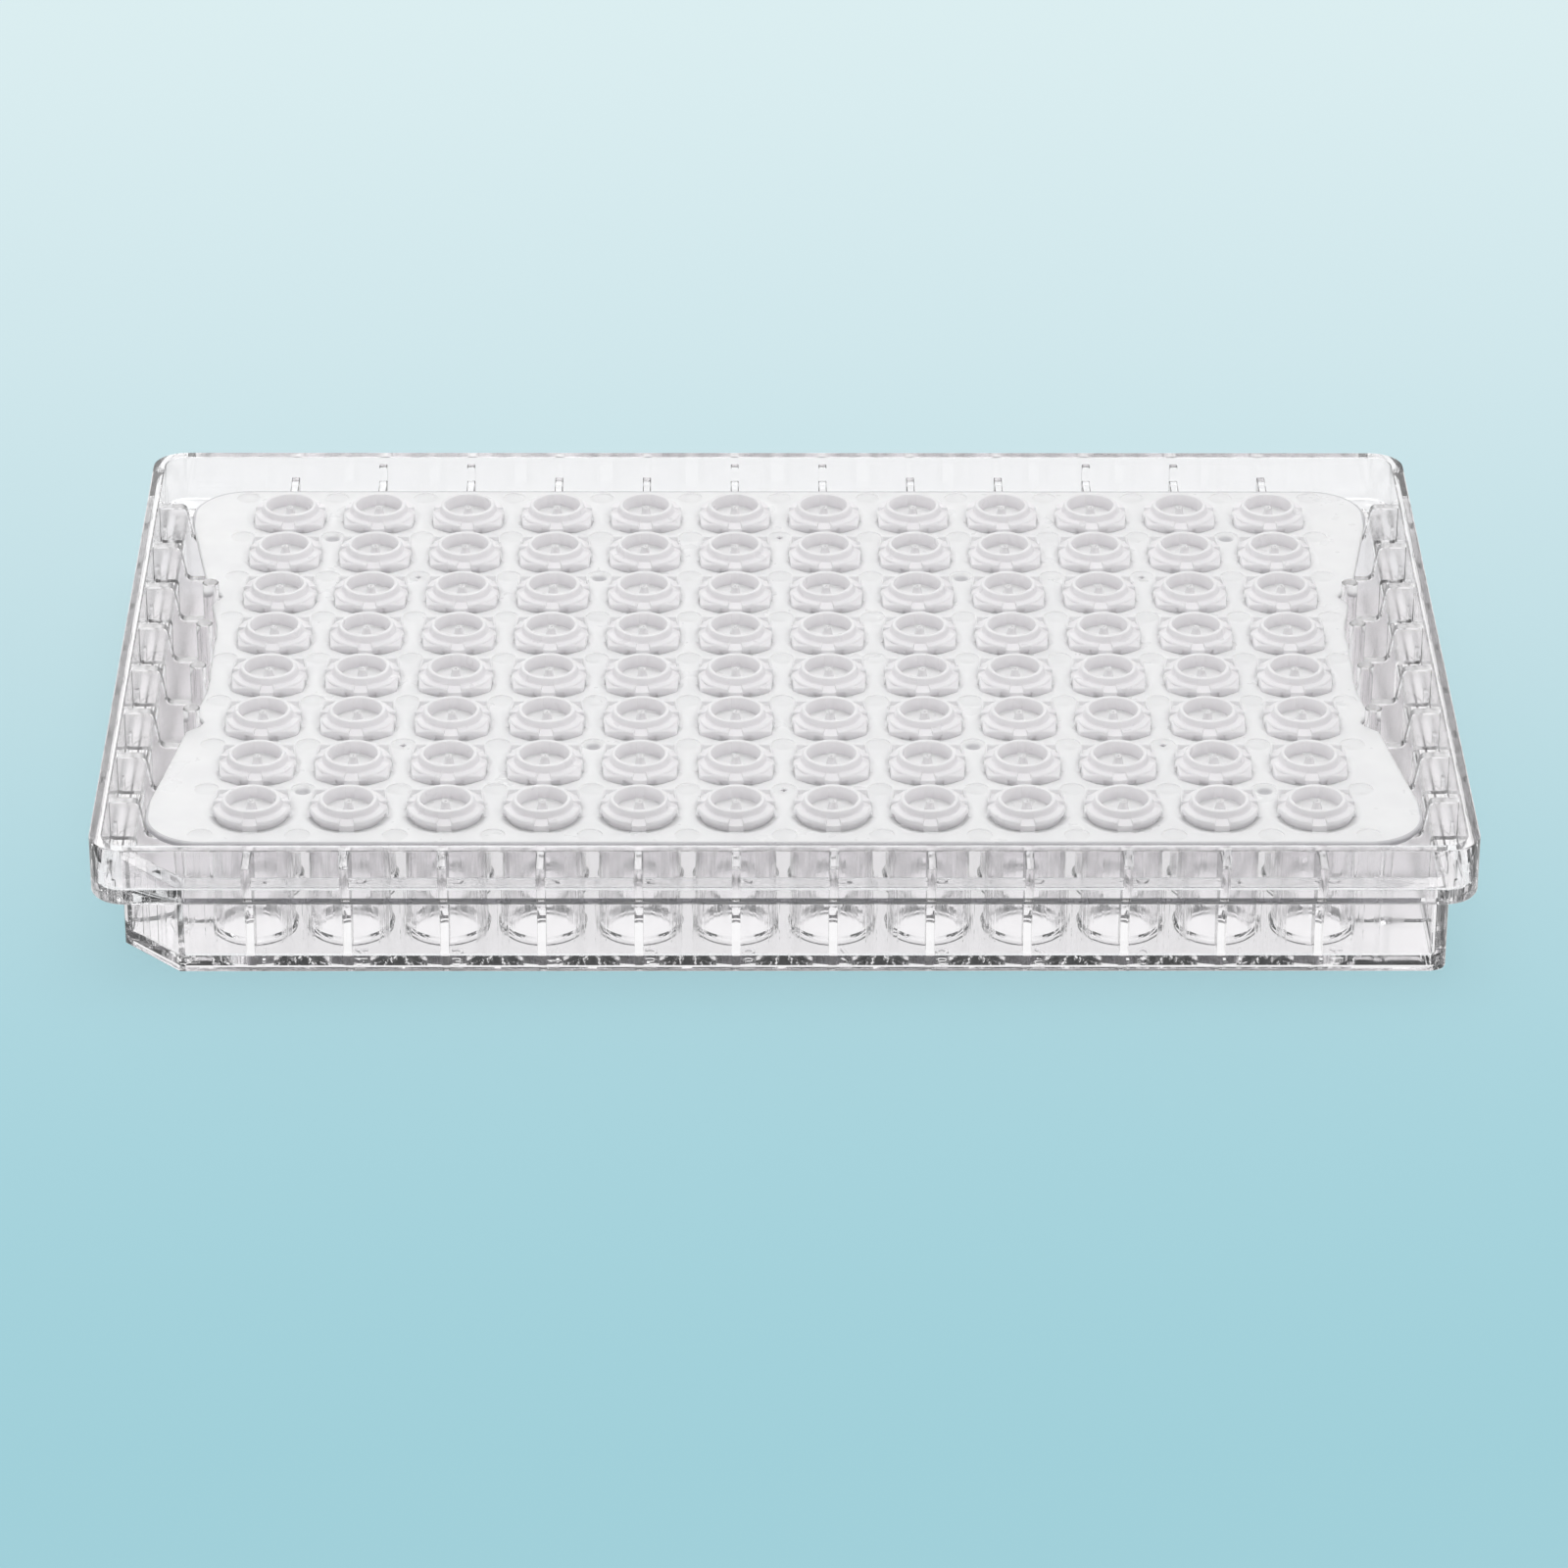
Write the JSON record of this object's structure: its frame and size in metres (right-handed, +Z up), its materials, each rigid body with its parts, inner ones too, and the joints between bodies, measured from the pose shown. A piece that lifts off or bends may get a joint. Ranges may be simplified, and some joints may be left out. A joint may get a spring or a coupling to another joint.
{
  "type": "filter well plate",
  "caption": "Clear filter well plate lying upside down, with its drain mat of small drip cups pressed onto the wells' undersides and facing up.",
  "frame": {"origin": "middle of the footprint on the plane that the deck's lip and the well mouths rest on", "axes": "+Z up, from the deck to the skirt rim as the plate lies; +X from column 1 to column 12; +Y from row A to row H"},
  "size_m": [0.1278, 0.0854, 0.0143],
  "materials": {
    "clear_polystyrene": "clear, polished moulding",
    "natural_polypropylene": "natural, slightly milky, satin moulding",
    "filter_membrane": "white, matte membrane"
  },
  "bodies": {
    "root": {"plate_body": "clear_polystyrene", "underdrain": "natural_polypropylene", "membranes_row_a": "filter_membrane", "membranes_row_b": "filter_membrane", "membranes_row_c": "filter_membrane", "membranes_row_d": "filter_membrane", "membranes_row_e": "filter_membrane", "membranes_row_f": "filter_membrane", "membranes_row_g": "filter_membrane", "membranes_row_h": "filter_membrane"}
  },
  "joints": []
}
